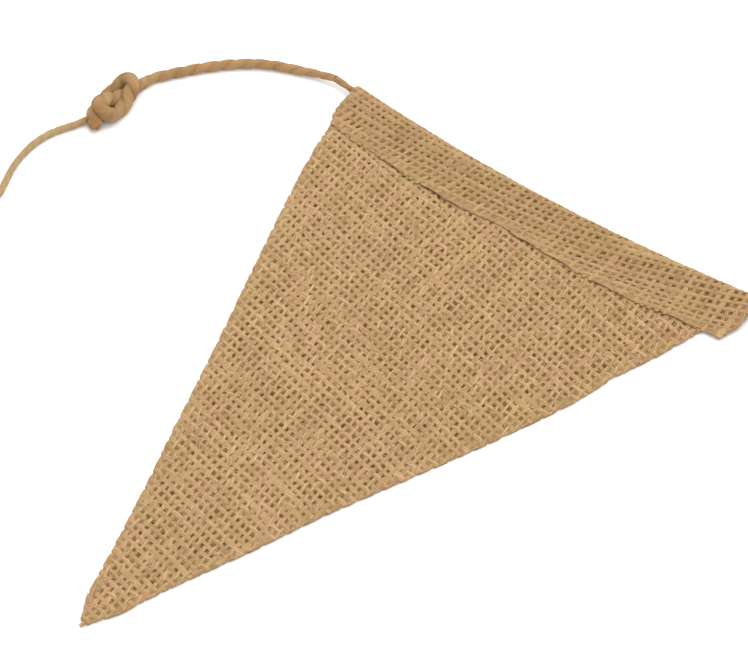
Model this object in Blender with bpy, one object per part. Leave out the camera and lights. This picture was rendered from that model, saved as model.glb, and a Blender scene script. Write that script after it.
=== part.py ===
"""One pennant of a burlap bunting, lying flat, with its jute string.

The pennant is a triangle of jute cloth, point towards -Y. Its top edge is folded over to the
front as a casing, and the string runs through the fold, out at the left, into an overhand knot
and on as a thinner string to a small coil. The part rests on the plane z = 0.
Metres, +Z up. The origin is on the underside, in the middle of the pennant.
"""
import bisect
import math

import bpy
from mathutils import Vector

MM = 0.001

# Cloth
CLOTH = 1.0 * MM              # thickness of the jute cloth
LAYER_GAP = 0.3 * MM          # air between touching pieces and between the layers of the fold
HEIGHT = 192.2 * MM           # point to the outside of the fold, at the corners
TIP_Y = -HEIGHT / 2

# String
CASED_STRING = 1.8 * MM       # diameter inside the casing, where it is drawn thin
FREE_STRING = 2.8 * MM        # diameter between the casing and the knot
KNOT_STRING = 3.2 * MM        # diameter in the knot, where its plies open and swell
THIN_STRING = 2.0 * MM        # diameter past the knot
CASED_REACH = 72.5 * MM       # the cased string sticks out to this distance on both sides

# Fold round the string
TUNNEL_R = CASED_STRING / 2 + LAYER_GAP
BEND_R = TUNNEL_R + CLOTH / 2             # middle of the cloth where it wraps the string
FOLD_OUT = BEND_R + CLOTH / 2             # outside of the fold, from the tunnel's centre line
FOLD_RISE = 0.35 * MM                     # the right end of the fold is this much farther up
FOLD_BOW = 4.1 * MM                       # the middle of the fold dips this much to the point
FLAP_RUN = 5.0 * MM                       # the flap comes down from the string over this run
FLAP_Z = CLOTH * 1.5 + LAYER_GAP          # middle of the flap where it lies on the panel

# Scissor-cut sides of the panel in mm: height above the point, left x, right x
PANEL_SIDES = (
    (0.0, -1.7, -0.5),
    (3.0, -3.0, 0.6),
    (9.0, -6.4, 4.1),
    (15.0, -8.2, 5.6),
    (25.0, -11.2, 9.0),
    (45.0, -17.9, 16.4),
    (65.0, -25.0, 23.0),
    (85.0, -31.8, 30.8),
    (105.0, -38.9, 38.7),
    (125.0, -46.3, 46.1),
    (137.0, -50.7, 50.1),
    (148.0, -54.7, 52.1),
    (160.0, -58.8, 56.4),
    (170.0, -61.8, 59.2),
    (176.0, -63.2, 60.9),
    (190.0, -65.2, 67.8),
)

# Ends of the casing in mm: distance from the fold down the flap, left x, right x
CASING_ENDS = (
    (0.0, -65.2, 67.8),
    (6.0, -65.3, 68.1),
    (11.0, -65.6, 67.5),
    (14.5, -63.7, 66.8),
    (17.5, -63.0, 65.8),
)

# Raw edge of the flap in mm: x, width of the flap, lift of the edge off the panel
FLAP_EDGE = (
    (-64.0, 15.5, 0.2),
    (-48.0, 15.6, 0.0),
    (-26.0, 16.5, 0.4),
    (-3.5, 15.1, 0.1),
    (12.0, 16.2, 0.4),
    (26.0, 17.3, 0.0),
    (44.0, 17.6, 0.3),
    (58.0, 16.8, 0.1),
    (67.0, 17.3, 0.2),
)

# How finely the cloth is divided
COLUMNS = 20
WRAP_STEPS = 9
SLOPE_STEPS = 5
FLAP_STEPS = 4
PANEL_ROW = 10.5              # longest step between rows of the panel, in mm

# Where the knot and the coil lie
KNOT_PLACE = Vector((-113.8, 59.0, 0.0)) * MM
KNOT_TURN = math.radians(-98.5)           # the knot's length points this way from +X
COIL_PLACE = Vector((-132.0, -12.0, 0.0)) * MM
COIL_MIDDLE = 11.5 * MM                   # radius at the middle of the turns
COIL_HALF = THIN_STRING                   # two turns side by side, halved
COIL_HEIGHT = 1.95 * THIN_STRING          # and two on top of each other

# The free string from the casing's mouth to the knot, in mm: x, y, height above its rest
FREE_ROUTE = (
    (-72.85, 93.8, 0.8),
    (-75.6, 93.3, 0.5),
    (-79.3, 92.4, 0.2),
    (-83.4, 90.9, 0.0),
    (-87.6, 89.3, 0.0),
    (-91.6, 87.4, 0.0),
    (-95.3, 85.0, 0.0),
    (-98.8, 82.0, 0.0),
    (-102.2, 78.5, 0.0),
    (-105.4, 74.6, 0.0),
    (-108.3, 70.6, 0.0),
    (-111.0, 66.8, 0.0),
    (-112.9, 63.4, 0.1),
    (-113.6, 60.3, 0.2),
)

# The thin string from the knot to the coil, in mm: x, y, height above its rest
THIN_ROUTE = (
    (-116.6, 39.4, 0.2),
    (-117.6, 37.0, 0.1),
    (-119.0, 34.3, 0.0),
    (-120.3, 31.4, 0.0),
    (-121.2, 28.2, 0.0),
    (-121.6, 24.4, 0.0),
    (-121.4, 20.6, 0.0),
    (-120.8, 17.0, 0.0),
    (-119.9, 13.6, 0.0),
    (-118.7, 10.5, 0.0),
    (-117.4, 7.4, 0.0),
    (-116.3, 4.2, 0.0),
    (-115.9, 0.4, 0.0),
    (-116.0, -3.4, 0.0),
    (-116.5, -7.2, 0.0),
    (-117.0, -11.0, 0.0),
)

# The string through the knot, in mm: along the knot, across it, height of its middle
KNOT_ROUTE = (
    (-1.0, 0.2, 1.7),
    (2.5, 0.0, 1.7),
    (6.2, 0.2, 1.9),
    (9.4, 0.4, 3.1),
    (12.2, 0.7, 4.6),
    (14.7, 1.6, 5.2),
    (16.1, 3.2, 5.0),
    (16.0, 4.9, 4.2),
    (14.3, 6.0, 3.0),
    (11.4, 5.8, 2.1),
    (7.8, 4.8, 2.4),
    (5.0, 3.8, 3.6),
    (2.9, 2.5, 4.8),
    (1.4, 0.8, 5.3),
    (1.0, -1.1, 5.1),
    (1.9, -2.8, 4.3),
    (4.1, -3.8, 3.1),
    (7.4, -3.9, 2.0),
    (11.6, -3.0, 1.65),
    (15.4, -1.1, 1.65),
    (18.0, 1.5, 1.65),
    (19.6, 4.4, 1.65),
    (20.4, 7.0, 1.65),
)


def from_table(rows, key, column):
    """Read a table's column at a key, in straight runs between its rows."""
    keys = [row[0] for row in rows]
    index = min(max(bisect.bisect_right(keys, key), 1), len(rows) - 1)
    low, high = rows[index - 1], rows[index]
    share = min(max((key - low[0]) / (high[0] - low[0]), 0.0), 1.0)
    return low[column] + share * (high[column] - low[column])


def smooth_route(route, step):
    """Points a step apart on a smooth curve through the route's own points."""
    ends = [route[0] * 2 - route[1]] + list(route) + [route[-1] * 2 - route[-2]]
    fine = []
    for a, b, c, d in zip(ends, ends[1:], ends[2:], ends[3:]):
        for index in range(12):
            t = index / 12
            fine.append(0.5 * ((2 * b) + (c - a) * t + (2 * a - 5 * b + 4 * c - d) * t * t
                               + (3 * b - a - 3 * c + d) * t ** 3))
    fine.append(route[-1])
    lengths = [0.0]
    for low, high in zip(fine, fine[1:]):
        lengths.append(lengths[-1] + (high - low).length)
    count = max(2, round(lengths[-1] / step))
    points = []
    for index in range(count + 1):
        target = lengths[-1] * index / count
        at = min(bisect.bisect_left(lengths, target), len(fine) - 1)
        at = max(at, 1)
        share = (target - lengths[at - 1]) / (lengths[at] - lengths[at - 1])
        points.append(fine[at - 1].lerp(fine[at], share))
    return points


def tunnel_y(x):
    """The centre line of the tunnel in the fold, which bows towards the point."""
    share = x / (67 * MM)
    return HEIGHT / 2 - FOLD_OUT - FOLD_RISE * (1 - share) - FOLD_BOW * (1 - share * share)


def make_material(name, colour, roughness):
    material = bpy.data.materials.new(name)
    material.use_nodes = True
    shader = material.node_tree.nodes["Principled BSDF"]
    shader.inputs["Base Color"].default_value = (*colour, 1.0)
    shader.inputs["Roughness"].default_value = roughness
    shader.inputs["Metallic"].default_value = 0.0
    return material


def add_mesh(name, points, faces, material):
    mesh = bpy.data.meshes.new(name)
    mesh.from_pydata(points, [], faces)
    mesh.shade_smooth()
    mesh.set_sharp_from_angle(angle=math.radians(40))
    mesh.materials.append(material)
    piece = bpy.data.objects.new(name, mesh)
    bpy.context.collection.objects.link(piece)
    return piece


def add_string(name, points, diameter, material):
    """A round string with filled ends along the points."""
    curve = bpy.data.curves.new(name, "CURVE")
    curve.dimensions = "3D"
    curve.bevel_depth = diameter / 2
    curve.bevel_resolution = 2
    curve.use_fill_caps = True
    spline = curve.splines.new("POLY")
    spline.points.add(len(points) - 1)
    for slot, point in zip(spline.points, points):
        slot.co = (*point, 1.0)
    curve.materials.append(material)
    piece = bpy.data.objects.new(name, curve)
    bpy.context.collection.objects.link(piece)
    return piece


def panel_rows():
    """Heights above the point of the panel's rows, in mm, with every outline row among them."""
    heights = [PANEL_SIDES[0][0]]
    for low, high in zip(PANEL_SIDES, PANEL_SIDES[1:]):
        parts = math.ceil((high[0] - low[0]) / PANEL_ROW)
        heights += [low[0] + (high[0] - low[0]) * k / parts for k in range(1, parts + 1)]
    return heights


def panel_point(height, share):
    """The middle of the cloth on the panel, and its outward direction, which is down."""
    left = from_table(PANEL_SIDES, height, 1) * MM
    right = from_table(PANEL_SIDES, height, 2) * MM
    x = left + (right - left) * share
    fold_x = (PANEL_SIDES[-1][1] + (PANEL_SIDES[-1][2] - PANEL_SIDES[-1][1]) * share) * MM
    y = TIP_Y + (tunnel_y(fold_x) - TIP_Y) * height / PANEL_SIDES[-1][0]
    return Vector((x, y, CLOTH / 2)), Vector((0, 0, -1))


def casing_point(back, height, outward, share):
    """The middle of the cloth in the casing, a distance back from the tunnel's centre line."""
    below_fold = max(0.0, FOLD_OUT - back) / MM
    left = from_table(CASING_ENDS, below_fold, 1) * MM
    right = from_table(CASING_ENDS, below_fold, 2) * MM
    x = left + (right - left) * share
    return Vector((x, tunnel_y(x) + back, height)), Vector((0, *outward))


def fold_sections():
    """Stations round the string and down the slope: back, height, outward direction."""
    centre = CLOTH / 2 + BEND_R
    stations = []
    for index in range(1, WRAP_STEPS + 1):
        angle = math.pi * index / WRAP_STEPS - math.pi / 2
        outward = (math.cos(angle), math.sin(angle))
        stations.append((BEND_R * outward[0], centre + BEND_R * outward[1], outward))
    top = centre + BEND_R
    for index in range(1, SLOPE_STEPS + 1):
        t = index / SLOPE_STEPS
        drop = (top - FLAP_Z) * (3 * t * t - 2 * t ** 3)
        slope = (top - FLAP_Z) * (6 * t - 6 * t * t) / FLAP_RUN
        length = math.hypot(1, slope)
        stations.append((-FLAP_RUN * t, top - drop, (-slope / length, 1 / length)))
    return stations


def flap_point(step, share):
    """The middle of the cloth on the flat of the flap, from the slope's foot to the raw edge."""
    x = (CASING_ENDS[-1][1] + (CASING_ENDS[-1][2] - CASING_ENDS[-1][1]) * share) * MM
    edge = FOLD_OUT - from_table(FLAP_EDGE, x / MM, 1) * MM
    lift = from_table(FLAP_EDGE, x / MM, 2) * MM
    t = step / FLAP_STEPS
    back = -FLAP_RUN + (edge + FLAP_RUN) * t
    return casing_point(back, FLAP_Z + lift * t * t, (0.0, 1.0), share)


def build_pennant(material):
    """The panel, the fold and the flap as one sheet with a thickness."""
    shares = [index / COLUMNS for index in range(COLUMNS + 1)]
    rows = [[panel_point(height, share) for share in shares] for height in panel_rows()]
    for station in fold_sections():
        rows.append([casing_point(*station, share) for share in shares])
    for step in range(1, FLAP_STEPS + 1):
        rows.append([flap_point(step, share) for share in shares])
    points = []
    for side in (1, -1):
        for row in rows:
            points += [middle + outward * (side * CLOTH / 2) for middle, outward in row]
    across = COLUMNS + 1
    half = len(rows) * across
    faces = []
    for row in range(len(rows) - 1):
        for column in range(COLUMNS):
            a = row * across + column
            b, c, d = a + 1, a + across + 1, a + across
            faces.append((d, c, b, a))
            faces.append((half + a, half + b, half + c, half + d))
        for a, b in ((row * across, (row + 1) * across),
                     ((row + 2) * across - 1, (row + 1) * across - 1)):
            faces.append((a, half + a, half + b, b))
    for column in range(COLUMNS):
        a = column
        faces.append((a + 1, half + a + 1, half + a, a))
        a = (len(rows) - 1) * across + column
        faces.append((a, half + a, half + a + 1, a + 1))
    return add_mesh("pennant", points, faces, material)


def build_cased_string(material):
    """The string inside the casing follows the bow of the fold."""
    middle = CLOTH + LAYER_GAP + CASED_STRING / 2
    steps = 24
    points = []
    for index in range(steps + 1):
        x = CASED_REACH * (2 * index / steps - 1)
        points.append(Vector((x, tunnel_y(x), middle)))
    return add_string("string_in_casing", points, CASED_STRING, material)


def build_loose_string(name, route, diameter, material):
    """A string that lies on the surface, along its route."""
    rest = diameter / 2 + 0.02 * MM
    points = [Vector((x * MM, y * MM, rest + lift * MM)) for x, y, lift in route]
    return add_string(name, smooth_route(points, 2.2 * diameter), diameter, material)


def build_knot(material):
    """The overhand knot, with its short cut end across the foot."""
    points = [Vector(row) * MM for row in KNOT_ROUTE]
    knot = add_string("knot", smooth_route(points, 0.45 * KNOT_STRING), KNOT_STRING, material)
    knot.location = KNOT_PLACE
    knot.rotation_euler = (0, 0, KNOT_TURN)
    return knot


def build_coil(material):
    """The outer shape of the wound turns: a ring with rounded edges, turned about Z."""
    turns, corner = 40, 0.9 * MM
    profile = []
    for quarter, (side, level) in enumerate(((1, 0), (1, 1), (-1, 1), (-1, 0))):
        centre_x = COIL_MIDDLE + side * (COIL_HALF - corner)
        centre_z = (COIL_HEIGHT - corner) if level else corner
        for index in range(3):
            angle = math.pi / 2 * (quarter - 1 + index / 2)
            profile.append((centre_x + corner * math.cos(angle), centre_z + corner * math.sin(angle)))
    points = []
    for turn in range(turns):
        angle = math.tau * turn / turns
        points += [(r * math.cos(angle), r * math.sin(angle), z) for r, z in profile]
    size = len(profile)
    faces = []
    for turn in range(turns):
        for index in range(size):
            a = turn * size + index
            b = turn * size + (index + 1) % size
            c = (turn + 1) % turns * size + (index + 1) % size
            d = (turn + 1) % turns * size + index
            faces.append((a, d, c, b))
    coil = add_mesh("coil", points, faces, material)
    coil.location = COIL_PLACE
    return coil


for old in list(bpy.data.objects):
    bpy.data.objects.remove(old, do_unlink=True)

build_pennant(make_material("jute_cloth", (0.58, 0.40, 0.22), 0.95))
build_cased_string(make_material("cased_twine", (0.50, 0.36, 0.20), 0.9))
free_twine = make_material("free_twine", (0.50, 0.36, 0.20), 0.9)
build_loose_string("string_free", FREE_ROUTE, FREE_STRING, free_twine)
build_knot(make_material("knot_twine", (0.47, 0.33, 0.18), 0.9))
thin_twine = make_material("thin_twine", (0.46, 0.34, 0.20), 0.9)
build_loose_string("string_thin", THIN_ROUTE, THIN_STRING, thin_twine)
build_coil(make_material("coil_twine", (0.46, 0.34, 0.20), 0.9))
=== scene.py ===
"""One pennant of a burlap bunting, lying flat on a pale floor with its jute string."""
import math

import bpy
import numpy as np
from mathutils import Matrix, Vector


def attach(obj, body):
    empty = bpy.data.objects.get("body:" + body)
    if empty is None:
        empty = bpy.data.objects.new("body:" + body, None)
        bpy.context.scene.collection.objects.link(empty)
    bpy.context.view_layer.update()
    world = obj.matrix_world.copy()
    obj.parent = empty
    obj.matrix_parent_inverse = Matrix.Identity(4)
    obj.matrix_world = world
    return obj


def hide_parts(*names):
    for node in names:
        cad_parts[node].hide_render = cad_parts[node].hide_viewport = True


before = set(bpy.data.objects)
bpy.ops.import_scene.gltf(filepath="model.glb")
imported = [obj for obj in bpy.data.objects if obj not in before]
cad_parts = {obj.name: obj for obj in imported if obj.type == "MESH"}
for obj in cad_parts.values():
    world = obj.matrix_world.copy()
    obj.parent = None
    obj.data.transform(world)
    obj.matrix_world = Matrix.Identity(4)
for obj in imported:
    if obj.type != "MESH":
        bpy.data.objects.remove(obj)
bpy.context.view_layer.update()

MM = 0.001
scene = bpy.context.scene

# Camera
# A long lens looks down on the pennant from the right, past its long lower edge.
# The angles and the distance come from the slope and the spacing of the threads in the picture.
PICTURE_WIDTH = 748
FOCAL_PIXELS = 4228.7
SENSOR_MM = 36.0
CAMERA_AT = Vector((461.7, -571.0, 788.8)) * MM
CAMERA_AZIMUTH = math.radians(38.09)
CAMERA_ELEVATION = math.radians(46.05)

looking = Vector((-math.sin(CAMERA_AZIMUTH) * math.cos(CAMERA_ELEVATION),
                  math.cos(CAMERA_AZIMUTH) * math.cos(CAMERA_ELEVATION),
                  -math.sin(CAMERA_ELEVATION)))
lens = bpy.data.cameras.new("camera")
lens.sensor_width = SENSOR_MM
lens.lens = SENSOR_MM * FOCAL_PIXELS / PICTURE_WIDTH
lens.clip_start = 0.05
camera = bpy.data.objects.new("camera", lens)
camera.location = CAMERA_AT
camera.rotation_euler = looking.to_track_quat("-Z", "Y").to_euler()
scene.collection.objects.link(camera)
scene.camera = camera


# String in the casing, free string and knot
# One jute twine of two plies, laid by machine. It runs through the fold of the pennant, leaves
# it at the left, and is tied in an overhand knot whose cut end sticks out at the foot.
TUNNEL_TOP = 93.9             # y of the tunnel's middle at the right end, in mm
TUNNEL_TILT = 0.35            # it is this much lower in the middle, by the slope of the edge,
TUNNEL_SAG = 4.1              # and this much more, by the curve of the edge
HALF_TOP = 67.0               # half the width of the casing
CASED_REACH = 72.5            # the cased string sticks out to this x on both sides, in mm
CASED_HEIGHT = 2.1            # height of its middle
FREE_ROUTE = (
    (-72.85, 93.8, 0.8),
    (-75.6, 93.3, 0.5),
    (-79.3, 92.4, 0.2),
    (-83.4, 90.9, 0.0),
    (-87.6, 89.3, 0.0),
    (-91.6, 87.4, 0.0),
    (-95.3, 85.0, 0.0),
    (-98.8, 82.0, 0.0),
    (-102.2, 78.5, 0.0),
    (-105.4, 74.6, 0.0),
    (-108.3, 70.6, 0.0),
    (-111.0, 66.8, 0.0),
    (-112.9, 63.4, 0.1),
    (-113.6, 60.3, 0.2),
)
FREE_REST = 1.42              # height of the free string's middle where it lies, in mm
KNOT_PLACE = Vector((-113.8, 59.0, 0.0))
KNOT_TURN = math.radians(-98.5)
KNOT_ROUTE = (
    (-1.0, 0.2, 1.7),
    (2.5, 0.0, 1.7),
    (6.2, 0.2, 1.9),
    (9.4, 0.4, 3.1),
    (12.2, 0.7, 4.6),
    (14.7, 1.6, 5.2),
    (16.1, 3.2, 5.0),
    (16.0, 4.9, 4.2),
    (14.3, 6.0, 3.0),
    (11.4, 5.8, 2.1),
    (7.8, 4.8, 2.4),
    (5.0, 3.8, 3.6),
    (2.9, 2.5, 4.8),
    (1.4, 0.8, 5.3),
    (1.0, -1.1, 5.1),
    (1.9, -2.8, 4.3),
    (4.1, -3.8, 3.1),
    (7.4, -3.9, 2.0),
    (11.6, -3.0, 1.65),
    (15.4, -1.1, 1.65),
    (18.0, 1.5, 1.65),
    (19.6, 4.4, 1.65),
    (20.4, 7.0, 1.65),
)
# Thickness of the thick string in mm: distance past the casing, diameter
THICK_TABLE = (
    (-160.0, 1.8),
    (-4.0, 1.8),
    (3.0, 2.2),
    (12.0, 2.6),
    (25.0, 2.9),
    (45.0, 3.0),
    (54.0, 2.9),
    (59.0, 3.9),
    (64.0, 4.3),
    (100.0, 4.2),
    (150.0, 3.6),
)
KNOT_FLOOR = 2.12             # lowest middle of the swollen twine in the knot, in mm
KNOT_FOOT = 14.0              # the pulled knot is drawn towards this place along its route
KNOT_SHORTER = 0.13           # by this part of the distance,
KNOT_MIDDLE = 1.0             # and towards its middle line at this y
KNOT_SQUEEZE = 0.28           # by this part, where the string has come in
KNOT_PAINTED_SHADE = 0.24            # painted shade: the knot's twine is a little darker, in mottles, for shade among its turns
END_ROUND = 1.8               # the cut end is rounded over this length, in mm
THIN_START = (-116.6, 39.4, 0.2)
THIN_LEAD = (                 # the end of the thin string inside the knot, from its start
    (2.6, 6.4, 1.6),
    (1.7, 3.9, 0.9),
    (0.8, 1.8, 0.3),
    (0.0, 0.0, 0.0),
)
THIN_REST = 1.02              # height of the thin string's middle where it lies, in mm
THIN_DIAMETER = 2.0
THIN_TURN = 6.5               # length of one full turn of its plies, in mm
THIN_APART = 0.2              # distance of its plies from its middle, as a part of the radius
THIN_SEED = 5
PLY_TURN = 9.5                # the same three for the thick string
PLY_APART = 0.27
THICK_SEED = 3
PLY_LUMPS = ((0.07, 6.0), (0.04, 2.2))    # lumps of a ply: height as a part of it, length in mm
THICK_STEP = 0.4              # distance between the rings of the thick string, in mm
THIN_STEP = 0.45


def tunnel_y(x):
    """The centre line of the tunnel in the fold in mm, as the part has it."""
    share = np.asarray(x, float) / HALF_TOP
    return TUNNEL_TOP - TUNNEL_TILT * (1 - share) - TUNNEL_SAG * (1 - share * share)


def smooth_line(route, step):
    """Evenly spaced points on a smooth curve through the route's points."""
    route = np.asarray(route, float)
    ends = np.vstack([2 * route[0] - route[1], route, 2 * route[-1] - route[-2]])
    t = np.linspace(0, 1, 16, endpoint=False)[:, None]
    runs = []
    for a, b, c, d in zip(ends, ends[1:], ends[2:], ends[3:]):
        runs.append(0.5 * (2 * b + (c - a) * t + (2 * a - 5 * b + 4 * c - d) * t ** 2
                           + (3 * b - a - 3 * c + d) * t ** 3))
    line = np.vstack(runs + [route[-1:]])
    along = np.concatenate([[0], np.cumsum(np.linalg.norm(np.diff(line, axis=0), axis=1))])
    even = np.linspace(0, along[-1], max(3, int(along[-1] / step) + 1))
    return np.stack([np.interp(even, along, line[:, k]) for k in range(3)], 1), even


def steady_frames(line):
    """Tangents and two steady cross directions along a line."""
    tangent = np.gradient(line, axis=0)
    tangent /= np.linalg.norm(tangent, axis=1, keepdims=True)
    side = np.zeros_like(line)
    current = np.cross(tangent[0], [0.0, 0.0, 1.0])
    for index, direction in enumerate(tangent):
        current = current - direction * (current @ direction)
        current /= np.linalg.norm(current)
        side[index] = current
    return tangent, side, np.cross(side, tangent)


def tube_mesh(name, strands):
    """Closed tubes joined in one mesh, with each point's place on its strand for the fibres.

    A strand is its rings of points in mm, the length along it at each ring, and its tone there."""
    points, faces, fibre, tones = [], [], [], []
    base = 0
    for rings, along, tone in strands:
        count, sides = rings.shape[:2]
        angles = np.arange(sides) * 2 * math.pi / sides
        points.append(rings.reshape(-1, 3))
        coordinates = np.empty((count, sides, 3))
        coordinates[..., 0] = np.cos(angles)
        coordinates[..., 1] = np.sin(angles)
        coordinates[..., 2] = along[:, None]
        fibre.append(coordinates.reshape(-1, 3))
        tones.append(np.repeat(tone, sides))
        first = base + np.arange(count - 1)[:, None] * sides + np.arange(sides)
        second = base + np.arange(count - 1)[:, None] * sides + (np.arange(sides) + 1) % sides
        faces += np.stack([first + sides, second + sides, second, first], -1).reshape(-1, 4).tolist()
        faces.append((base + np.arange(sides)).tolist())
        faces.append((base + (count - 1) * sides + np.arange(sides)[::-1]).tolist())
        base += count * sides
    mesh = bpy.data.meshes.new(name)
    mesh.from_pydata(np.vstack(points) * MM, [], faces)
    mesh.attributes.new("fibre", "FLOAT_VECTOR", "POINT").data.foreach_set(
        "vector", np.vstack(fibre).ravel().astype(np.float32))
    mesh.attributes.new("tone", "FLOAT", "POINT").data.foreach_set(
        "value", np.concatenate(tones).astype(np.float32))
    mesh.shade_smooth()
    mesh.set_sharp_from_angle(angle=math.radians(75))
    piece = bpy.data.objects.new(name, mesh)
    scene.collection.objects.link(piece)
    return piece


def round_rings(middle, across, over, wide, high, sides):
    """Rings of points round a strand's middle line, as ellipses of the given half sizes."""
    angles = np.arange(sides) * 2 * math.pi / sides
    return (middle[:, None] + across[:, None] * (np.cos(angles) * wide[:, None])[..., None]
            + over[:, None] * (np.sin(angles) * high[:, None])[..., None])


def ply_strands(line, along, radius, turn, seed, sides, apart):
    """The two plies of a twisted string round its middle line, pressed together.

    apart is how far a ply's middle is from the string's, as a part of the radius."""
    chance = np.random.default_rng(seed)
    tangent, side, over = steady_frames(line)
    strands = []
    for ply in range(2):
        angle = 2 * math.pi * (along / turn + ply / 2)
        out = side * np.cos(angle)[:, None] + over * np.sin(angle)[:, None]
        middle = line + out * (radius * apart)[:, None]
        lumps = uneven(along, PLY_LUMPS, chance)
        around = np.cross(tangent, out)
        wide = radius * (1.0 - 0.6 * apart) * (1 + lumps)
        high = radius * (1.0 - apart) * (1 + lumps)
        tone = 0.5 + 0.22 * slow_noise(along, 9.0, chance)
        strands.append((round_rings(middle, around, out, wide, high, sides),
                        along + 40.0 * ply + 7.0 * seed, tone))
    return strands


def slow_noise(along, scale, chance):
    """Smooth random values of about -1 to 1 along a strand, with bumps of the given length."""
    count = int((along[-1] - along[0]) / scale) + 4
    knots = chance.uniform(-1, 1, count)
    place = (along - along[0]) / scale
    cell = np.floor(place).astype(int)
    share = place - cell
    share = share * share * (3 - 2 * share)
    return knots[cell] * (1 - share) + knots[cell + 1] * share


def uneven(along, bumps, chance):
    """Random values along a strand: the sum of bumps of several heights and lengths."""
    return sum(height * slow_noise(along, length, chance) for height, length in bumps)


def add_node(tree, kind, inputs, **settings):
    """A new shader node with its settings. An input is a value, or an output of another node."""
    node = tree.nodes.new("ShaderNode" + kind)
    for setting, value in settings.items():
        setattr(node, setting, value)
    for socket, value in inputs.items():
        if isinstance(value, bpy.types.NodeSocket):
            tree.links.new(value, node.inputs[socket])
        else:
            node.inputs[socket].default_value = value
    return node


def mix_colours(tree, share, first, second, blend_type="MIX"):
    """The output of a node that mixes two colours, or multiplies the first by the second."""
    inputs = {0: share, 6: first, 7: second}
    return add_node(tree, "Mix", inputs, data_type="RGBA", blend_type=blend_type).outputs[2]


def twisted_fibre_group():
    """Fine fibres round a strand: streaks from thin to thick, their relief, and a side mask for
    painted shade.
    """
    group = bpy.data.node_groups.new("twisted_fibres", "ShaderNodeTree")
    for label, kind in (("Fibre", "NodeSocketVector"), ("Twist", "NodeSocketFloat"),
                        ("Fineness", "NodeSocketFloat"), ("Length", "NodeSocketFloat")):
        group.interface.new_socket(name=label, in_out="INPUT", socket_type=kind)
    for label in ("Streak", "Strand Height", "Side"):
        group.interface.new_socket(name=label, in_out="OUTPUT", socket_type="NodeSocketFloat")
    given = group.nodes.new("NodeGroupInput").outputs
    result = group.nodes.new("NodeGroupOutput").inputs
    across, over, along = add_node(group, "SeparateXYZ", {0: given["Fibre"]}).outputs

    def math_node(operation, first, second=0.5):
        return add_node(group, "Math", {0: first, 1: second}, operation=operation).outputs[0]

    angle = math_node("MULTIPLY", along, given["Twist"])
    cosine, sine = math_node("COSINE", angle), math_node("SINE", angle)
    x = math_node("ADD", math_node("MULTIPLY", across, cosine), math_node("MULTIPLY", over, sine))
    y = math_node("SUBTRACT", math_node("MULTIPLY", over, cosine),
                  math_node("MULTIPLY", across, sine))
    wound = add_node(group, "CombineXYZ", {0: math_node("MULTIPLY", x, given["Fineness"]),
                                           1: math_node("MULTIPLY", y, given["Fineness"]),
                                           2: math_node("DIVIDE", along, given["Length"])})
    fine = add_node(group, "TexNoise", {"Vector": wound.outputs[0], "Scale": 2.6, "Detail": 4.0,
                                        "Roughness": 0.65}).outputs["Fac"]
    spread = add_node(group, "MapRange", {"Value": fine, "From Min": 0.3, "From Max": 0.7})
    # inward is 1 at a strand's sides and 0 at its top and bottom: as Side it masks the painted shade.
    inward = math_node("SUBTRACT", 1.0, math_node("ABSOLUTE", over))
    group.links.new(spread.outputs["Result"], result["Streak"])
    group.links.new(fine, result["Strand Height"])
    group.links.new(math_node("POWER", inward, 2.0), result["Side"])
    return group


TWISTED_FIBRES = twisted_fibre_group()
PAINTED_SIDE_SHADE = (0.66, 0.50, 0.35)           # painted shade: the colour that the sides of a strand are multiplied by
STREAK_SHARE = 0.45           # how much of a strand's tone its fine streaks give,
TONE_SHARE = 0.55             # and how much the slow changes along it


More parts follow.
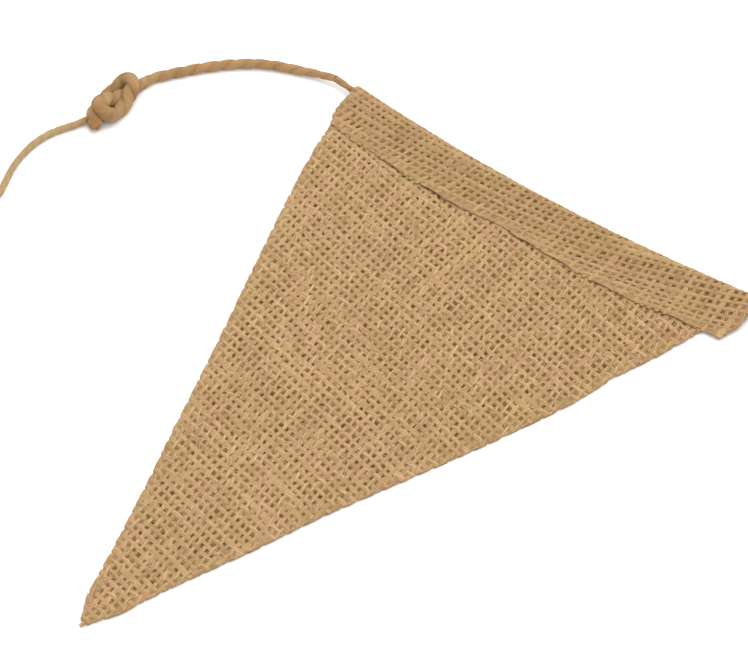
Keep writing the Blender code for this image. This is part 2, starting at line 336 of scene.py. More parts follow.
def jute_material(name, light, dark, twist, fineness, length, relief, cool, warm, tint_scale, side):
    """Jute: streaks of pale and darker fibre, slow tone changes, cool and warm patches, painted side
    shade.

    twist turns the streaks round the strand, by radians a mm. fineness and length are theirs.
    side is how far painted shade darkens a strand's sides, shaded there by loose fibres and
    neighbours."""
    material = bpy.data.materials.new(name)
    material.use_nodes = True
    tree = material.node_tree
    shader = tree.nodes["Principled BSDF"]
    shader.inputs["Roughness"].default_value = 0.95
    shader.inputs["Specular IOR Level"].default_value = 0.06
    shader.inputs["Sheen Weight"].default_value = 0.15
    shader.inputs["Sheen Roughness"].default_value = 0.6
    shader.inputs["Sheen Tint"].default_value = (1.0, 0.80, 0.56, 1)
    fibre = add_node(tree, "Attribute", {}, attribute_name="fibre").outputs["Vector"]
    tone = add_node(tree, "Attribute", {}, attribute_name="tone").outputs["Fac"]
    place = add_node(tree, "TexCoord", {}).outputs["Object"]
    strands = add_node(tree, "Group", {"Fibre": fibre, "Twist": twist, "Fineness": fineness,
                                       "Length": length}, node_tree=TWISTED_FIBRES).outputs
    slow = add_node(tree, "Math", {0: tone, 1: TONE_SHARE}, operation="MULTIPLY").outputs[0]
    share = add_node(tree, "Math", {0: strands["Streak"], 1: STREAK_SHARE, 2: slow},
                     operation="MULTIPLY_ADD").outputs[0]
    blend = mix_colours(tree, share, (*dark, 1), (*light, 1))
    patches = add_node(tree, "TexNoise", {"Vector": place, "Scale": tint_scale, "Detail": 2.0})
    hue = add_node(tree, "ValToRGB", {0: patches.outputs["Fac"]})
    for stop, position, tint in zip(hue.color_ramp.elements, (0.33, 0.67), (cool, warm)):
        stop.position = position
        stop.color = (*tint, 1)
    tinted = mix_colours(tree, 1.0, blend, hue.outputs["Color"], "MULTIPLY")
    # Painted shade: the sides of each strand are darkened by the side-shade colour, as far as side
    # says.
    painted_shade_share = add_node(tree, "Math", {0: strands["Side"], 1: side}, operation="MULTIPLY").outputs[0]
    shaded = mix_colours(tree, painted_shade_share, tinted, (*PAINTED_SIDE_SHADE, 1), "MULTIPLY")
    tree.links.new(shaded, shader.inputs["Base Color"])
    bump = add_node(tree, "Bump", {"Strength": relief, "Distance": 0.00025,
                                   "Height": strands["Strand Height"]})
    tree.links.new(bump.outputs["Normal"], shader.inputs["Normal"])
    return material


twine_material = jute_material("jute_twine", (0.475, 0.32, 0.178), (0.205, 0.12, 0.054),
                               0.9, 1.5, 2.2, 1.0, (1.0, 0.98, 0.86), (1.0, 0.82, 0.68), 110.0, 0.35)

cased_x = np.linspace(CASED_REACH, -CASED_REACH, 30)
cased_line = np.stack([cased_x, tunnel_y(cased_x), np.full(30, CASED_HEIGHT)], 1)
free_line = np.array([(x, y, FREE_REST + lift) for x, y, lift in FREE_ROUTE])
turn = Matrix.Rotation(KNOT_TURN, 3, "Z")
knot_line = [turn @ Vector(KNOT_ROUTE[0]) + KNOT_PLACE]
for x, y, z in KNOT_ROUTE[1:]:
    x += (KNOT_FOOT - x) * KNOT_SHORTER
    come_in = min((x + 2.0) / 8.0, 1)
    y += (KNOT_MIDDLE - y) * KNOT_SQUEEZE * come_in
    knot_line.append(turn @ Vector((x, y, max(z, KNOT_FLOOR))) + KNOT_PLACE)
knot_line = np.array(knot_line)
thick_route = np.vstack([cased_line, free_line, knot_line[1:]])
thick_line, thick_along = smooth_line(thick_route, THICK_STEP)


def nearest_along(point):
    """How far along the thick string a point of its route lies, in mm."""
    return thick_along[np.argmin(np.linalg.norm(thick_line - point, axis=1))]


mouth_along = nearest_along(free_line[0])
knot_along = nearest_along(knot_line[0])
thick_radius = np.interp(thick_along - mouth_along, *zip(*THICK_TABLE)) / 2
to_end = np.clip((thick_along[-1] - thick_along) / END_ROUND, 0, 1)
thick_radius *= np.sqrt(np.maximum(1 - (1 - to_end) ** 2, 0.05))


def twine_piece(name, low, high, darker=0.0, more=()):
    """The stretch of the thick string between two distances along it, with its two plies.

    darker is how much deeper its tone is, in mottles of painted shade, and more are strands that it
    holds."""
    keep = (thick_along >= low - THICK_STEP) & (thick_along <= high + THICK_STEP)
    strands = ply_strands(thick_line[keep], thick_along[keep], thick_radius[keep], PLY_TURN,
                          THICK_SEED, 14, PLY_APART)
    mottled = np.random.default_rng(THICK_SEED + 4)
    # Painted shade: the tone is lowered in mottles, as far as darker says.
    for _, along, tone in strands:
        tone -= darker * (1 + 1.3 * slow_noise(along, 2.6, mottled))
    piece = tube_mesh(name, strands + list(more))
    piece.data.materials.append(twine_material)
    return piece, thick_line[keep] * MM


cased, _ = twine_piece("cased_twine", 0.0, mouth_along)
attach(cased, "root")
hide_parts("string_in_casing")

thin_start = Vector(THIN_START) + Vector((0, 0, THIN_REST))
lead = np.array([thin_start + Vector(step) for step in THIN_LEAD])
lead_line, lead_along = smooth_line(lead, THICK_STEP)
lead_radius = np.full(len(lead_along), THIN_DIAMETER / 2)
lead_strands = ply_strands(lead_line, lead_along - lead_along[-1], lead_radius, THIN_TURN,
                           THIN_SEED, 12, THIN_APART)
knot, _ = twine_piece("knot_twine", knot_along, thick_along[-1], KNOT_PAINTED_SHADE, lead_strands)
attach(knot, "root")
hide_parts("knot")

free, free_path = twine_piece("free_twine", mouth_along, knot_along)
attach(free, "root")
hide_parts("string_free")


# Thin string and its coil
# A thinner jute twine runs on from the foot of the knot. The length outside the picture is
# wound in a small flat coil of two turns side by side, twice, just past the picture's edge.
THIN_ROUTE = (
    THIN_START,
    (-117.6, 37.0, 0.1),
    (-119.0, 34.3, 0.0),
    (-120.3, 31.4, 0.0),
    (-121.2, 28.2, 0.0),
    (-121.6, 24.4, 0.0),
    (-121.4, 20.6, 0.0),
    (-120.8, 17.0, 0.0),
    (-119.9, 13.6, 0.0),
    (-118.7, 10.5, 0.0),
    (-117.4, 7.4, 0.0),
    (-116.3, 4.2, 0.0),
    (-115.9, 0.4, 0.0),
    (-116.4, -3.4, 0.0),
    (-117.6, -7.0, 0.0),
)
COIL_PLACE = np.array((-132.0, -12.0))
COIL_OUTER = 12.5             # radius of the outer turns and of the inner turns, in mm
COIL_INNER = 10.5
COIL_LIFT = 1.86              # the upper turns lie this much higher, in mm
COIL_TURNS = 3.93
COIL_START = 0.03             # part of a turn at which the string comes in
TURN_POINTS = 24              # points of the route in one turn
JOG = 0.22                    # part of a turn in which the string moves to its next place


def coil_points():
    """The turns, wound clockwise from the outside: outer, inner, upper inner, upper outer."""
    stations = ((COIL_OUTER, 0.0), (COIL_INNER, 0.0),
                (COIL_INNER, COIL_LIFT), (COIL_OUTER, COIL_LIFT))
    points = []
    for index in range(int(COIL_TURNS * TURN_POINTS) + 1):
        turned = index / TURN_POINTS + COIL_START
        layer = min(int(turned), 3)
        share = min(max((turned - layer - 1 + JOG) / JOG, 0.0), 1.0)
        share = share * share * (3 - 2 * share)
        this, following = stations[layer], stations[min(layer + 1, 3)]
        radius = this[0] + (following[0] - this[0]) * share
        lift = this[1] + (following[1] - this[1]) * share
        angle = -2 * math.pi * turned
        wobble = 0.1 * math.sin(3.1 * angle + layer)
        points.append((COIL_PLACE[0] + (radius + wobble) * math.cos(angle),
                       COIL_PLACE[1] + (radius + wobble) * math.sin(angle), THIN_REST + lift))
    return points


thin_line = [(x, y, THIN_REST + lift) for x, y, lift in THIN_ROUTE] + coil_points()
thin_line, thin_along = smooth_line(thin_line, THIN_STEP)
thin_lumps = 0.05 * slow_noise(thin_along, 8.0, np.random.default_rng(11))
thin_radius = THIN_DIAMETER / 2 * (1 + thin_lumps)
thin_radius = np.minimum(thin_radius, THIN_REST)
thin = tube_mesh("thin_twine", ply_strands(thin_line, thin_along, thin_radius, THIN_TURN,
                                           THIN_SEED, 10, THIN_APART))
thin.data.materials.append(jute_material("thin_twine", (0.42, 0.31, 0.175), (0.25, 0.165, 0.08),
                                         0.9, 1.0, 3.0, 0.5, (0.97, 1.0, 0.9), (1.0, 0.93, 0.86),
                                         90.0, 0.25))
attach(thin, "root")
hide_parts("string_thin", "coil")


# Pennant
# One triangle of plain-woven jute burlap, cut with scissors. The cloth runs on past the top
# edge, is turned over to the front round the string and lies there as a flap with a raw edge.
PANEL_MIDDLE = 0.40           # height of the yarns' middle where the panel rests, in mm
BEND_R = 1.7                  # bend of the cloth's middle round the string
FOLD_OUT = 2.2                # outside of the part's fold, from the tunnel's centre line
FLAP_RUN = 9.5                # the flap comes down from the string over this run
FLAP_Z = 1.35                 # height of the flap's middle where it lies on the panel
EDGE_DROOP = 0.38             # how far the flap's raw edge sinks on the panel, in mm
RAW_LIFT = 0.10               # how far that edge rises and sinks in short waves
RAW_WAVE = 0.20               # and how far it is cut unevenly
UNDER_FLAP = 0.25             # how far the panel rises to meet the flap
PANEL_SWELL = 0.22            # half the height of the panel's slow swells
TIP_Y = -96.1                 # y of the pennant's point
PANEL_HIGH = 190.0            # height of the panel in the table of its sides
# Scissor-cut sides in mm: height above the point, left x, right x
PANEL_SIDES = np.array((
    (0.0, -1.7, -0.5),
    (3.0, -3.0, 0.6),
    (9.0, -6.4, 4.1),
    (15.0, -8.2, 5.6),
    (25.0, -11.2, 9.0),
    (45.0, -17.9, 16.4),
    (65.0, -25.0, 23.0),
    (85.0, -31.8, 30.8),
    (105.0, -38.9, 38.7),
    (125.0, -46.3, 46.1),
    (137.0, -50.7, 50.1),
    (148.0, -54.7, 52.1),
    (160.0, -58.8, 56.4),
    (170.0, -61.8, 59.2),
    (176.0, -63.2, 60.9),
    (190.0, -65.2, 67.8),
))
# Ends of the casing in mm: distance from the fold down the flap, left x, right x
CASING_ENDS = np.array((
    (0.0, -65.2, 67.8),
    (6.0, -65.3, 68.1),
    (11.0, -65.6, 67.5),
    (14.5, -63.7, 66.8),
    (17.5, -63.0, 65.8),
))
# Raw edge of the flap in mm: x, width of the flap, lift of the edge off the panel
FLAP_EDGE = np.array((
    (-64.0, 15.5, 0.2),
    (-48.0, 15.6, 0.0),
    (-26.0, 16.5, 0.4),
    (-3.5, 15.1, 0.1),
    (12.0, 16.2, 0.4),
    (26.0, 17.3, 0.0),
    (44.0, 17.6, 0.3),
    (58.0, 16.8, 0.1),
    (67.0, 17.3, 0.2),
))


def section_of_fold():
    """The cloth's path past the fold: length along it, back, height and the front's direction."""
    angle = np.linspace(-math.pi / 2, math.pi / 2, 25)
    back = list(BEND_R * np.cos(angle))
    high = list(PANEL_MIDDLE + BEND_R + BEND_R * np.sin(angle))
    top = PANEL_MIDDLE + 2 * BEND_R
    for t in np.linspace(0, 1, 25)[1:]:
        back.append(-FLAP_RUN * t)
        high.append(top - (top - FLAP_Z) * (3 * t * t - 2 * t ** 3))
    back.append(-30.0)
    high.append(FLAP_Z)
    back, high = np.array(back), np.array(high)
    length = np.concatenate([[0], np.cumsum(np.hypot(np.diff(back), np.diff(high)))])
    run = np.gradient(back, length), np.gradient(high, length)
    size = np.hypot(*run)
    return length, back, high, -run[1] / size, run[0] / size


FOLD_LENGTH, FOLD_BACK, FOLD_HIGH, FRONT_Y, FRONT_Z = section_of_fold()
FOLDED_X = np.linspace(-70, 70, 60)
FLAP_LENGTH = np.array([np.interp(-(FOLD_OUT - np.interp(x, FLAP_EDGE[:, 0], FLAP_EDGE[:, 1])),
                                  -FOLD_BACK[24:], FOLD_LENGTH[24:]) for x in FOLDED_X])


def tunnel_slope(x):
    """How steeply the tunnel's centre line climbs towards +X."""
    return (TUNNEL_TILT + 2 * TUNNEL_SAG * x / HALF_TOP) / HALF_TOP


def past_fold(x, y):
    """The nearest place on the tunnel's line for points of the flat cloth, and how far past it."""
    slope = tunnel_slope(x)
    past = (y - tunnel_y(x)) / (1 + slope ** 2)
    return x + slope * np.maximum(past, 0), past


def place_cloth(flat, depth):
    """Places of points of the uncut cloth once it is folded, and which way its front faces.

    flat holds x and y of the cloth laid out flat, depth the distance in front of its middle."""
    x, y = flat[:, 0], flat[:, 1]
    foot, past = past_fold(x, y)
    folded = past > 0
    reach = np.maximum(past, 0)
    slope = tunnel_slope(foot)
    back = np.interp(reach, FOLD_LENGTH, FOLD_BACK)
    share = np.clip(reach / np.interp(foot, FOLDED_X, FLAP_LENGTH), 0, 1)
    uneven = RAW_LIFT * (np.sin(foot / 2.3) + np.sin(foot / 3.7 + 1.0))
    lift = (np.interp(foot, FLAP_EDGE[:, 0], FLAP_EDGE[:, 2]) - EDGE_DROOP + uneven) * share ** 6
    high = np.where(folded, np.interp(reach, FOLD_LENGTH, FOLD_HIGH) + lift,
                    PANEL_MIDDLE + panel_rise(x, y))
    front_y = np.where(folded, np.interp(reach, FOLD_LENGTH, FRONT_Y), 0.0)
    front = np.stack([-slope * front_y, front_y,
                      np.where(folded, np.interp(reach, FOLD_LENGTH, FRONT_Z), 1.0)], 1)
    place = np.stack([np.where(folded, foot - slope * back, x),
                      np.where(folded, tunnel_y(foot) + back, y), high], 1)
    return place + front * np.asarray(depth)[:, None], front


def panel_rise(x, y):
    """Slow swells of the panel, and its rise to the flap that lies on it, in mm."""
    swell = (np.sin(x / 17.0 + y / 29.0 + 1.0) + np.sin(y / 21.0 - x / 33.0)) / 2
    below_fold = tunnel_y(x) - y
    swelling = np.clip((below_fold - 16.0) / 30.0, 0, 1)
    rising = np.clip(below_fold / 12.0, 0, 1) * np.clip((38.0 - below_fold) / 22.0, 0, 1)
    return PANEL_SWELL * (1 + swell) * swelling + UNDER_FLAP * rising


def inside_cloth(x, y):
    """How far a point of the flat cloth is inside its cut edge, in mm."""
    foot, past = past_fold(x, y)
    height = np.clip((y - TIP_Y) / (tunnel_y(x) - TIP_Y), 0, 1) * PANEL_HIGH
    left = np.interp(height, PANEL_SIDES[:, 0], PANEL_SIDES[:, 1])
    right = np.interp(height, PANEL_SIDES[:, 0], PANEL_SIDES[:, 2])
    back = np.interp(np.maximum(past, 0), FOLD_LENGTH, FOLD_BACK)
    below = np.maximum(FOLD_OUT - back, 0)
    folded_x = foot - tunnel_slope(foot) * back
    left = np.where(past > 0, np.interp(below, CASING_ENDS[:, 0], CASING_ENDS[:, 1]), left)
    right = np.where(past > 0, np.interp(below, CASING_ENDS[:, 0], CASING_ENDS[:, 2]), right)
    at = np.where(past > 0, folded_x, x)
    room = np.minimum(at - left, right - at)
    uneven = RAW_WAVE * (np.sin(x / 2.9) + np.sin(x / 1.7 + 1.0))
    edge = np.interp(foot, FOLDED_X, FLAP_LENGTH) + uneven
    return np.minimum(np.minimum(room, edge - past), y - TIP_Y)


AXIS_PITCH = 2.067            # spacing of the yarns that run along the pennant, in mm
CROSS_PITCH = 2.355           # spacing of the yarns across it
AXIS_ANGLE = math.radians(1.5)            # across the axis yarns, from +X
CROSS_ANGLE = math.radians(75.6)          # across the cross yarns: the weave is pulled askew
CRIMP = 0.10                  # how far a yarn bends over and under the others, in mm
YARN_WIDE = 0.280             # half the width of a yarn, as a part of its spacing
YARN_HIGH = 0.23              # half its thickness in mm
YARN_STEP = 0.66              # distance between the rings of a yarn, in mm
YARN_SIDES = 8
AXIS_OFFSET = 0.35            # place of the first yarn, as a part of the spacing
CROSS_OFFSET = 0.2
YARN_REACH = (-135.0, 150.0)  # how far the yarns run both ways before they are cut, in mm
YARNS_EACH_WAY = 70
SHEAR_STEPS = 9.0             # rings over which a yarn's end is slanted to the scissors' cut
RAGGED = (-0.12, 0.2)         # and by how many more it may end too early or too late
FOLD_FAN = 0.095              # the cross yarns are pulled straighter past the fold, by this slope
FOLD_CLOSE = 0.27             # and lie closer together there, by this part
FOLD_LEAN = 0.13              # the axis yarns lean to the left past the fold, by this slope
AXIS_FOLDED = 0.02            # the axis yarns are wider past the fold, by this part,
CROSS_FOLDED = -0.14          # the cross yarns narrower,
FOLD_BULGE = 0.16             # and all of them wider on the bend
# Unevenness along a yarn, as rows: height of its bumps, their length in mm
YARN_WANDER = ((0.13, 14.0), (0.08, 4.0))
YARN_THICK = ((0.15, 22.0), (0.14, 4.0))
YARN_TONE = ((0.2, 18.0), (0.18, 2.5))
YARN_OWN_TONE = 0.16          # and how far a whole yarn differs in tone
SLUB_SIZE = 1.5               # slubs: how much thicker they are,
SLUB_LENGTH = 8.0             # their length in mm,
SLUB_RARITY = 0.5             # and how rare
WINDINGS = ((0.0, 0.8), (2.4, 1.0))       # start and pace of the two fibres round a yarn
FIBRE_HALF = 0.065            # half the thickness of a bundle of fibres that stands out, in mm
FIBRE_SHAPE = np.array([(math.cos(turned), math.sin(turned)) for turned in (0.5, 2.6, 4.7)])


def drift(x, y):
    """How far the weave is shifted from straight rows, in mm: slow waves, and a fan at the fold."""
    past = y - tunnel_y(x)
    fan = FOLD_FAN * x * np.clip((past + 18.0) / 34.0, 0, 1) - FOLD_CLOSE * np.clip(past + 6.0, 0, 30)
    lean = FOLD_LEAN * np.clip(past, 0, 30)
    return np.stack([0.22 * np.sin(y / 11.0 + x / 23.0) + 0.15 * np.sin(x / 7.0 - y / 31.0) - lean,
                     0.20 * np.sin(x / 9.0 + 0.7) + 0.16 * np.sin(y / 8.0 + x / 19.0) + fan], 1)


def pick(at, values):
    """Values of a yarn, kept at even steps, at any places between the steps."""
    return np.interp(at, np.arange(len(values)), values)


def cut_places(room, middle):
    """Where a line along a yarn leaves the cloth, both ways from a place inside it, in steps."""
    places = []
    for way in (-1, 1):
        run = room[middle::way]
        out = max(int(np.argmax(run <= 0)), 1)
        share = np.clip(run[out - 1] / max(run[out - 1] - run[out], 1e-6), 0, 1)
        places.append(middle + way * (out - 1 + share))
    return places


def lay_strand(flat_x, flat_y, depth):
    """Rings of points of the flat cloth, carried to where the folded cloth has them."""
    flat = np.stack([flat_x.ravel(), flat_y.ravel()], 1)
    return place_cloth(flat, depth.ravel())[0].reshape(*flat_x.shape, 3)


def weave(axis, seed):
    """All yarns of one direction, and the two fibres that wind loosely round each."""
    chance = np.random.default_rng(seed)
    angle, other = (AXIS_ANGLE, CROSS_ANGLE) if axis else (CROSS_ANGLE, AXIS_ANGLE)
    pitch, other_pitch = (AXIS_PITCH, CROSS_PITCH) if axis else (CROSS_PITCH, AXIS_PITCH)
    offset, other_offset = (AXIS_OFFSET, CROSS_OFFSET) if axis else (CROSS_OFFSET, AXIS_OFFSET)
    normal = np.array((math.cos(angle), math.sin(angle)))
    run = np.array((-normal[1], normal[0]))
    other_normal = np.array((math.cos(other), math.sin(other)))
    turns = np.arange(YARN_SIDES) * 2 * math.pi / YARN_SIDES
    cosine, sine = np.cos(turns), np.sin(turns)
    yarns, fibres = [], []
    reach = np.arange(*YARN_REACH, YARN_STEP)
    for index in range(-YARNS_EACH_WAY, YARNS_EACH_WAY + 1):
        straight = normal * (index + offset) * pitch + run * reach[:, None]
        phase = straight @ other_normal / other_pitch - other_offset
        wander = uneven(reach, YARN_WANDER, chance)
        thick = 1 + uneven(reach, YARN_THICK, chance)
        thick += SLUB_SIZE * np.maximum(0, slow_noise(reach, SLUB_LENGTH, chance) - SLUB_RARITY)
        tone = 0.5 + YARN_OWN_TONE * chance.uniform(-1, 1) + uneven(reach, YARN_TONE, chance)
        winding = (reach * chance.uniform(0.35, 0.75) + 0.7 * slow_noise(reach, 6.0, chance)
                   + chance.uniform(0, 6.3))
        ragged = chance.uniform(*RAGGED, 2)
        flat = straight + drift(straight[:, 0], straight[:, 1]) + normal * wander[:, None]
        over = np.cos(math.pi * (phase + index))
        over = np.sign(over) * np.abs(over) ** 0.8 * CRIMP * (1 if axis else -1)
        past = flat[:, 1] - tunnel_y(flat[:, 0])
        folded = (AXIS_FOLDED if axis else CROSS_FOLDED) * np.clip(past / 6.0, 0, 1)
        bulge = FOLD_BULGE * np.clip(1 - np.abs(past - 2.5) / 5.0, 0, 1)
        wide = pitch * YARN_WIDE * thick * (1 + folded + bulge)
        high = YARN_HIGH * (0.72 + 0.28 * thick)
        room = inside_cloth(flat[:, 0], flat[:, 1])
        keep = np.flatnonzero(room > 0)
        if len(keep) < 4:
            continue
        for part in np.split(keep, np.flatnonzero(np.diff(keep) > 1) + 1):
            if len(part) < 4:
                continue
            middle = part[len(part) // 2]
            low, high_end = cut_places(room, middle)
            at = np.linspace(low, high_end, max(4, int(high_end - low) + 1))
            slant = min(SHEAR_STEPS, (high_end - low) / 2)
            near_low = np.clip(1 - (at - low) / slant, 0, 1)
            near_high = np.clip(1 - (high_end - at) / slant, 0, 1)
            places = np.empty((len(at), YARN_SIDES))
            for side in range(YARN_SIDES):
                line = flat + normal * (cosine[side] * wide)[:, None]
                ends = cut_places(inside_cloth(line[:, 0], line[:, 1]), middle)
                shift = np.clip((ends[0] - low + ragged[0], ends[1] - high_end + ragged[1]),
                                -0.8 * slant, 0.8 * slant)
                places[:, side] = at + shift[0] * near_low + shift[1] * near_high
            here_wide = pick(places, wide)
            rings = lay_strand(pick(places, flat[:, 0]) + normal[0] * cosine * here_wide,
                               pick(places, flat[:, 1]) + normal[1] * cosine * here_wide,
                               pick(places, over) + sine * pick(places, high))
            yarns.append((rings, at * YARN_STEP + 31.7 * index, np.clip(pick(at, tone), 0, 1)))
            for start, pace in WINDINGS:
                wound = pick(at, winding) * pace + start
                thin = FIBRE_HALF * FIBRE_SHAPE
                side_way = np.cos(wound)[:, None] * pick(at, wide)[:, None] + thin[:, 0]
                up_way = np.sin(wound)[:, None] * pick(at, high)[:, None] + thin[:, 1]
                rings = lay_strand(pick(at, flat[:, 0])[:, None] + normal[0] * side_way,
                                   pick(at, flat[:, 1])[:, None] + normal[1] * side_way,
                                   pick(at, over)[:, None] + up_way)
                fibres.append((rings, at * YARN_STEP, np.clip(pick(at, tone), 0, 1)))
    return yarns, fibres


burlap = jute_material("jute_cloth", (0.46, 0.307, 0.167), (0.20, 0.12, 0.053),
                       1.3, 0.9, 1.8, 0.7, (0.97, 1.0, 0.84), (1.0, 0.93, 0.92), 130.0, 1.0)

axis_strands, axis_fibres = weave(True, 21)
cross_strands, cross_fibres = weave(False, 22)
axis_yarns = tube_mesh("axis_yarns", axis_strands)
cross_yarns = tube_mesh("cross_yarns", cross_strands)
axis_wound = tube_mesh("axis_wound_fibres", axis_fibres)
cross_wound = tube_mesh("cross_wound_fibres", cross_fibres)


STRAY_COUNT = 5000
STRAY_POINTS = 6              # rings along a stray fibre
STRAY_TURN = 0.35             # how far it turns away from the yarns, in radians
STRAY_LENGTH = (1.5, 5.0)
STRAY_BEND = 0.25             # how far it bends, in radians
STRAY_HALF = (0.03, 0.05)     # half its thickness in mm
STRAY_ROOM = 0.3              # how far it stays inside the cut edges, in mm
STRAY_SIDES = (0.35, 0.65)    # share of them behind the cloth, and in front


def loose_fibres(count, seed):
    """Short stray fibres that lie over the weave, most of them near the way of the yarns."""
    chance = np.random.default_rng(seed)
    strands = []
    while len(strands) < count:
        start = np.array((chance.uniform(-66, 67), chance.uniform(TIP_Y, 112)))
        heading = chance.choice((AXIS_ANGLE, CROSS_ANGLE)) + math.pi / 2 + chance.normal(0, STRAY_TURN)
        length = chance.uniform(*STRAY_LENGTH)
        bend = chance.normal(0, STRAY_BEND)
        share = np.linspace(0, 1, STRAY_POINTS)
        turned = heading + bend * share
        steps = np.stack([np.cos(turned), np.sin(turned)], 1) * length / (STRAY_POINTS - 1)
        line = start + np.cumsum(steps, axis=0)
        side = np.stack([np.sin(turned), -np.cos(turned)], 1)
        if inside_cloth(line[:, 0], line[:, 1]).min() < STRAY_ROOM:
            continue
        face = chance.choice((-1, 1), p=STRAY_SIDES)
        level = face * (0.12 + chance.uniform(0.16, 0.30) * np.sin(math.pi * share) ** 0.6)
        thin = chance.uniform(*STRAY_HALF) * FIBRE_SHAPE * face
        places = line[:, None] + side[:, None] * (thin[:, 0] * face)[:, None]
        rings = lay_strand(places[..., 0], places[..., 1], level[:, None] + thin[:, 1] * face)
        strands.append((rings, share * length, np.full(STRAY_POINTS, chance.uniform(0.5, 1.0))))
    return strands


stray_fibres = tube_mesh("stray_fibres", loose_fibres(STRAY_COUNT, 23))
pale_fibre = jute_material("pale_fibre", (0.70, 0.505, 0.32), (0.45, 0.30, 0.17),
                           0.0, 0.5, 4.0, 0.2, (0.97, 1.0, 0.84), (1.0, 0.93, 0.92), 130.0, 0.0)
for yarns in (axis_yarns, cross_yarns):
    yarns.data.materials.append(burlap)
for fibres in (axis_wound, cross_wound, stray_fibres):
    fibres.data.materials.append(pale_fibre)
for yarns in (axis_yarns, cross_yarns, axis_wound, cross_wound, stray_fibres):
    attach(yarns, "root")


# A thin sheet between the yarns: painted shade seen through the holes of the weave, lighter where fuzz
# closes them.
GROUND_HALF = 0.07            # half the thickness of the sheet of fuzz and painted shade that fills the holes, in mm
GROUND_INSET = 0.3            # how far it stays inside the cut edges, in mm
GROUND_ROWS = 90
GROUND_FLAP_ROWS = 42
GROUND_COLUMNS = 49


def ground_grid():
    """A regular grid of the flat cloth from side to side, from the point to the flap's edge."""
    shares = np.linspace(0, 1, GROUND_COLUMNS)
    rows = []
    for height in np.linspace(1.5, PANEL_HIGH, GROUND_ROWS):
        left = np.interp(height, PANEL_SIDES[:, 0], PANEL_SIDES[:, 1]) + GROUND_INSET
        right = np.interp(height, PANEL_SIDES[:, 0], PANEL_SIDES[:, 2]) - GROUND_INSET
        x = left + (right - left) * shares
        rows.append(np.stack([x, TIP_Y + (tunnel_y(x) - TIP_Y) * height / PANEL_HIGH], 1))
    for share in np.linspace(0, 1, GROUND_FLAP_ROWS)[1:]:
        x = np.linspace(-66.0, 67.2, GROUND_COLUMNS)
        past = share * (np.interp(x, FOLDED_X, FLAP_LENGTH) - GROUND_INSET)
        back = np.interp(past, FOLD_LENGTH, FOLD_BACK)
        below = np.maximum(FOLD_OUT - back, 0)
        left = np.interp(below, CASING_ENDS[:, 0], CASING_ENDS[:, 1]) + GROUND_INSET
        right = np.interp(below, CASING_ENDS[:, 0], CASING_ENDS[:, 2]) - GROUND_INSET
        folded_x = left + (right - left) * shares
        foot = folded_x + tunnel_slope(folded_x) * back
        rows.append(np.stack([foot - tunnel_slope(foot) * past, tunnel_y(foot) + past], 1))
    return rows


rows = ground_grid()
flat = np.vstack(rows)
across = len(rows[0])
half = len(flat)
points = np.vstack([place_cloth(flat, np.full(half, side * GROUND_HALF))[0] for side in (-1, 1)])
faces = []
for row in range(len(rows) - 1):
    for column in range(across - 1):
        a = row * across + column
        corners = (a, a + 1, a + across + 1, a + across)
        faces.append(corners[::-1])
        faces.append(tuple(half + corner for corner in corners))
    for a, b in ((row * across, (row + 1) * across),
                 ((row + 2) * across - 1, (row + 1) * across - 1)):
        faces.append((a, half + a, half + b, b)[::-1])
for column in range(across - 1):
    a = column
    faces.append((a + 1, half + a + 1, half + a, a)[::-1])
    a = (len(rows) - 1) * across + column
    faces.append((a, half + a, half + a + 1, a + 1)[::-1])
mesh = bpy.data.meshes.new("fuzz_and_hole_shade_sheet")
mesh.from_pydata(points * MM, [], faces)
mesh.attributes.new("room", "FLOAT", "POINT").data.foreach_set(
    "value", np.tile(inside_cloth(flat[:, 0], flat[:, 1]), 2).astype(np.float32))
mesh.shade_smooth()
fuzz_and_shade_sheet = bpy.data.objects.new("fuzz_and_hole_shade_sheet", mesh)
scene.collection.objects.link(fuzz_and_shade_sheet)

fuzz_and_shade_paint = bpy.data.materials.new("fuzz_and_hole_shade")
fuzz_and_shade_paint.use_nodes = True
tree = fuzz_and_shade_paint.node_tree
shader = tree.nodes["Principled BSDF"]
shader.inputs["Roughness"].default_value = 1.0
shader.inputs["Specular IOR Level"].default_value = 0.1
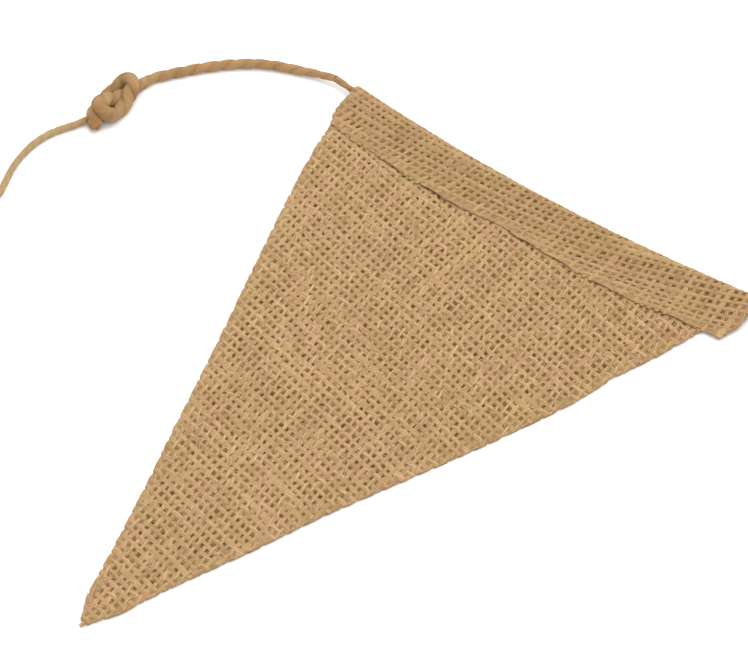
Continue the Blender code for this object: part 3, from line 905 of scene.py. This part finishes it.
# Painted shade of the holes, dark brown, with lighter patches of fuzz laid out by noise.
place = add_node(tree, "TexCoord", {}).outputs["Object"]
tangle = add_node(tree, "TexNoise", {"Vector": place, "Scale": 520.0, "Detail": 2.0})
contrast = add_node(tree, "MapRange", {"Value": tangle.outputs["Fac"], "From Min": 0.32,
                                       "From Max": 0.80})
shade = mix_colours(tree, contrast.outputs["Result"], (0.085, 0.040, 0.010, 1),
                    (0.27, 0.16, 0.068, 1))
# The sheet is lighter towards the cut edges, from 4 mm in.
room = add_node(tree, "Attribute", {}, attribute_name="room")
near_edge = add_node(tree, "MapRange", {"Value": room.outputs["Fac"], "From Min": 0.3,
                                        "From Max": 4.0, "To Min": 0.8, "To Max": 0.0})
lighter_near_edges = mix_colours(tree, near_edge.outputs["Result"], shade, (0.33, 0.21, 0.10, 1))
tree.links.new(lighter_near_edges, shader.inputs["Base Color"])
mesh.materials.append(fuzz_and_shade_paint)
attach(fuzz_and_shade_sheet, "root")
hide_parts("pennant")


# Floor and light
# A plain pale floor, a wide soft light from behind and above, and an even fill.
bpy.ops.mesh.primitive_plane_add(size=6.0, location=(0, 0, -0.00006))
floor = bpy.context.object
floor.name = "floor"
paint = bpy.data.materials.new("floor_paint")
paint.use_nodes = True
paint.node_tree.nodes["Principled BSDF"].inputs["Base Color"].default_value = (0.9, 0.9, 0.9, 1)
paint.node_tree.nodes["Principled BSDF"].inputs["Roughness"].default_value = 0.9
floor.data.materials.append(paint)


def soft_light(name, azimuth, elevation, distance, size, power):
    """A round soft lamp that shines at the part, from angles in degrees and metres away."""
    lamp = bpy.data.lights.new(name, "AREA")
    lamp.shape = "DISK"
    lamp.size = size
    lamp.energy = power
    piece = bpy.data.objects.new(name, lamp)
    turned, raised = math.radians(azimuth), math.radians(elevation)
    piece.location = Vector((-math.sin(turned) * math.cos(raised), math.cos(turned) * math.cos(raised),
                             math.sin(raised))) * distance
    piece.rotation_euler = (-piece.location).to_track_quat("-Z", "Y").to_euler()
    scene.collection.objects.link(piece)


soft_light("key", 10, 64, 1.6, 2.2, 27.0)
soft_light("fill", 230, 50, 1.8, 1.4, 10.0)
world = bpy.data.worlds.new("world")
world.use_nodes = True
world.node_tree.nodes["Background"].inputs["Color"].default_value = (1, 1, 1, 1)
world.node_tree.nodes["Background"].inputs["Strength"].default_value = 0.90
scene.world = world
scene.view_settings.view_transform = "Standard"
